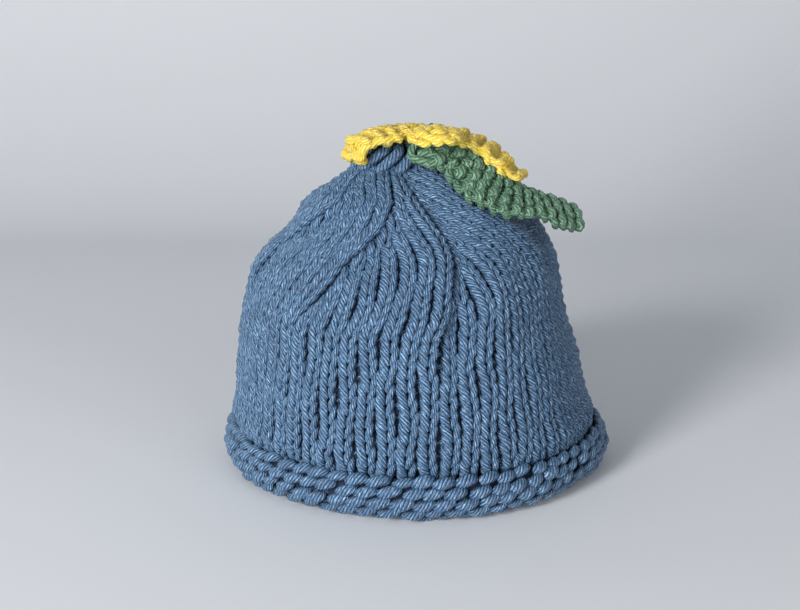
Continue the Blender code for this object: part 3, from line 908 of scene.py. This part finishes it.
def make_flower(yarn, ground, rng):
    """Five petals in garter stitch."""
    tubes = []
    for petal in PETALS:
        sheet = PetalSheet(petal)
        tubes.append(knit_garter(sheet, PETAL_FROM, sheet.reach(), PETAL_KNIT, rng))
        tubes.append(bind_off(sheet))
    knitted = make_piece("flower_petals", tubes, yarn)
    for k, petal in enumerate(PETALS):
        along = np.linspace(1.0, petal.length - 1.5, 14)
        base = make_ground(f"petal_cloth_{k + 1}", PetalSheet(petal), GROUND_ACROSS, along, on_middle, ground)
    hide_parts("flower")


def make_bobble(yarn):
    """The flower's centre: yarn wound into a low bobble."""
    rise = FLOWER["middle"] + FLOWER["thick"] / 2 + CENTRE["seat"]
    radius = CENTRE["yarn"]
    points, facing = [], []
    for t in np.linspace(0.0, 1.0, 30):
        angle = 2 * math.pi * CENTRE["turns"] * t
        reach = (CENTRE["radius"] - radius) * math.cos(0.5 * math.pi * t ** CENTRE["doming"])
        height = rise + radius + (2 * CENTRE["half_height"] - 2 * radius) * t
        out = np.array([math.cos(angle), math.sin(angle), 0.0])
        points.append(np.array([FLOWER["x"], FLOWER["y"], height]) + out * reach)
        facing.append(out + np.array([0.0, 0.0, CENTRE["tilt"]]))
    piece = make_piece("flower_bobble", [lay_yarn(points, np.array(facing), radius, rings=90)], yarn)
    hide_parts("flower_centre")


def make_leaf(yarn, ground, rng):
    """The leaf in garter stitch, its tail of yarn wound round the base."""
    sheet = LeafSheet()
    tubes = [knit_garter(sheet, LEAF_FROM, sheet.length[-1], LEAF_KNIT, rng)]
    for path in LEAF_TAIL:
        aside, along = np.array(path).T
        normal = sheet.outward(aside, along)
        normal = normal * np.sign(normal[:, 2:])
        tubes.append(lay_yarn(sheet.point(aside, along) + normal * TAIL_LIFT, normal, TAIL_YARN, rings=24))
    knitted = make_piece("leaf_stitches", tubes, yarn)
    along = np.linspace(1.0, sheet.length[-1] - 1.0, 40)
    base = make_ground("leaf_cloth", sheet, GROUND_ACROSS, along, on_middle, ground)
    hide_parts("leaf")


# ---- Studio and camera, in metres ---------------------------------------------------------------
PALE_GREY, DAYLIGHT, DAYLIGHT_STRENGTH = (0.775, 0.79, 0.812, 1.0), (0.80, 0.86, 0.95, 1.0), 0.26
Light = namedtuple("Light", "name place target power size")
LIGHTS = (
    Light("window", (-0.72, -1.00, 0.54), (0.0, 0.0, 0.05), 12.4, 0.32),
    Light("low", (-0.55, -1.00, 0.14), (0.0, 0.0, 0.11), 6.2, 0.2),
    Light("fill", (0.62, -1.0, 0.30), (0.0, 0.0, 0.05), 4.2, 0.8),
)
CAMERA_PLACE, CAMERA_PITCH = (-0.0055, -0.445, 0.153), 77.5
CAMERA_SENSOR, CAMERA_LENS = 36.0, 56.925      # in mm


def make_backdrop():
    """A pale table that sweeps up behind into a plain wall."""
    near, far, bend, tall, wide = -1.2, 0.45, 0.35, 2.0, 2.5
    turns = np.linspace(0.0, math.pi / 2, 17)
    profile = [(near, 0.0)] + [(far + bend * math.sin(a), bend * (1.0 - math.cos(a))) for a in turns]
    profile.append((far + bend, tall))
    points = [(x, y, z) for y, z in profile for x in (-wide, wide)]
    faces = [(2 * k, 2 * k + 1, 2 * k + 3, 2 * k + 2) for k in range(len(profile) - 1)]
    mesh = bpy.data.meshes.new("backdrop")
    mesh.from_pydata(points, [], faces)
    mesh.shade_smooth()
    backdrop = bpy.data.objects.new("backdrop", mesh)
    bpy.context.collection.objects.link(backdrop)
    finish = Finish("pale_backdrop", {"Roughness": 0.85, "Base Color": PALE_GREY})
    mesh.materials.append(finish.material)


def make_light(light):
    """A soft square light that faces its target."""
    lamp_data = bpy.data.lights.new(light.name, "AREA")
    lamp_data.energy, lamp_data.size = light.power, light.size
    lamp = bpy.data.objects.new(light.name, lamp_data)
    lamp.location = light.place
    aim = np.array(light.target) - np.array(light.place)
    lamp.rotation_euler = (math.atan2(math.hypot(aim[0], aim[1]), -aim[2]), 0.0,
                           math.atan2(aim[1], aim[0]) - math.pi / 2)
    bpy.context.collection.objects.link(lamp)


def make_studio():
    """The backdrop, the soft lights and the daylight of a pale room."""
    make_backdrop()
    for light in LIGHTS:
        make_light(light)
    world = bpy.data.worlds.new("soft_room")
    world.use_nodes = True
    background = world.node_tree.nodes["Background"]
    background.inputs["Color"].default_value = DAYLIGHT
    background.inputs["Strength"].default_value = DAYLIGHT_STRENGTH
    bpy.context.scene.world = world
    bpy.context.scene.view_settings.view_transform = "Standard"


def make_camera():
    """The camera, a little above the cosy's top and in front of it."""
    camera = bpy.data.cameras.new("camera")
    camera.sensor_width = CAMERA_SENSOR
    camera.lens = CAMERA_LENS
    holder = bpy.data.objects.new("camera", camera)
    holder.location = CAMERA_PLACE
    holder.rotation_euler = (math.radians(CAMERA_PITCH), 0.0, 0.0)
    bpy.context.collection.objects.link(holder)
    bpy.context.scene.camera = holder


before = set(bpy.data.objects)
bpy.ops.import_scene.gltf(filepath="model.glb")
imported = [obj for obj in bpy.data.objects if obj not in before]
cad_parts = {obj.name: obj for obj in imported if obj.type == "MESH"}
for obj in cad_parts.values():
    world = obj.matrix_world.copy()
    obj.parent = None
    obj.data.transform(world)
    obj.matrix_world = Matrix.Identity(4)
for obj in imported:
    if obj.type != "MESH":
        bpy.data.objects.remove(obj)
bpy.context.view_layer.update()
make_camera()
make_studio()
rng = np.random.default_rng(SEED)
cloth = Cloth()
columns = Columns(cloth)
blue = plied_yarn("blue_yarn_plied", BLUE)
yellow = plied_yarn("yellow_yarn_plied", YELLOW)
green = plied_yarn("green_yarn_plied", GREEN)
shaded_blue_ground = plain_cloth("blue_yarn_shaded_ground", SHADED_BLUE_GROUND)
shaded_yellow_ground = plain_cloth("yellow_yarn_shaded_ground", SHADED_YELLOW_GROUND)
shaded_green_ground = plain_cloth("green_yarn_shaded_ground", SHADED_GREEN_GROUND)
make_panel("front", "front_panel", Panel(cloth, 0.0), columns, blue, shaded_blue_ground, rng)
make_panel("back", "back_panel", Panel(cloth, 180.0), columns, blue, shaded_blue_ground, rng)
make_gather(blue)
make_flower(yellow, shaded_yellow_ground, rng)
make_bobble(blue)
make_leaf(green, shaded_green_ground, rng)
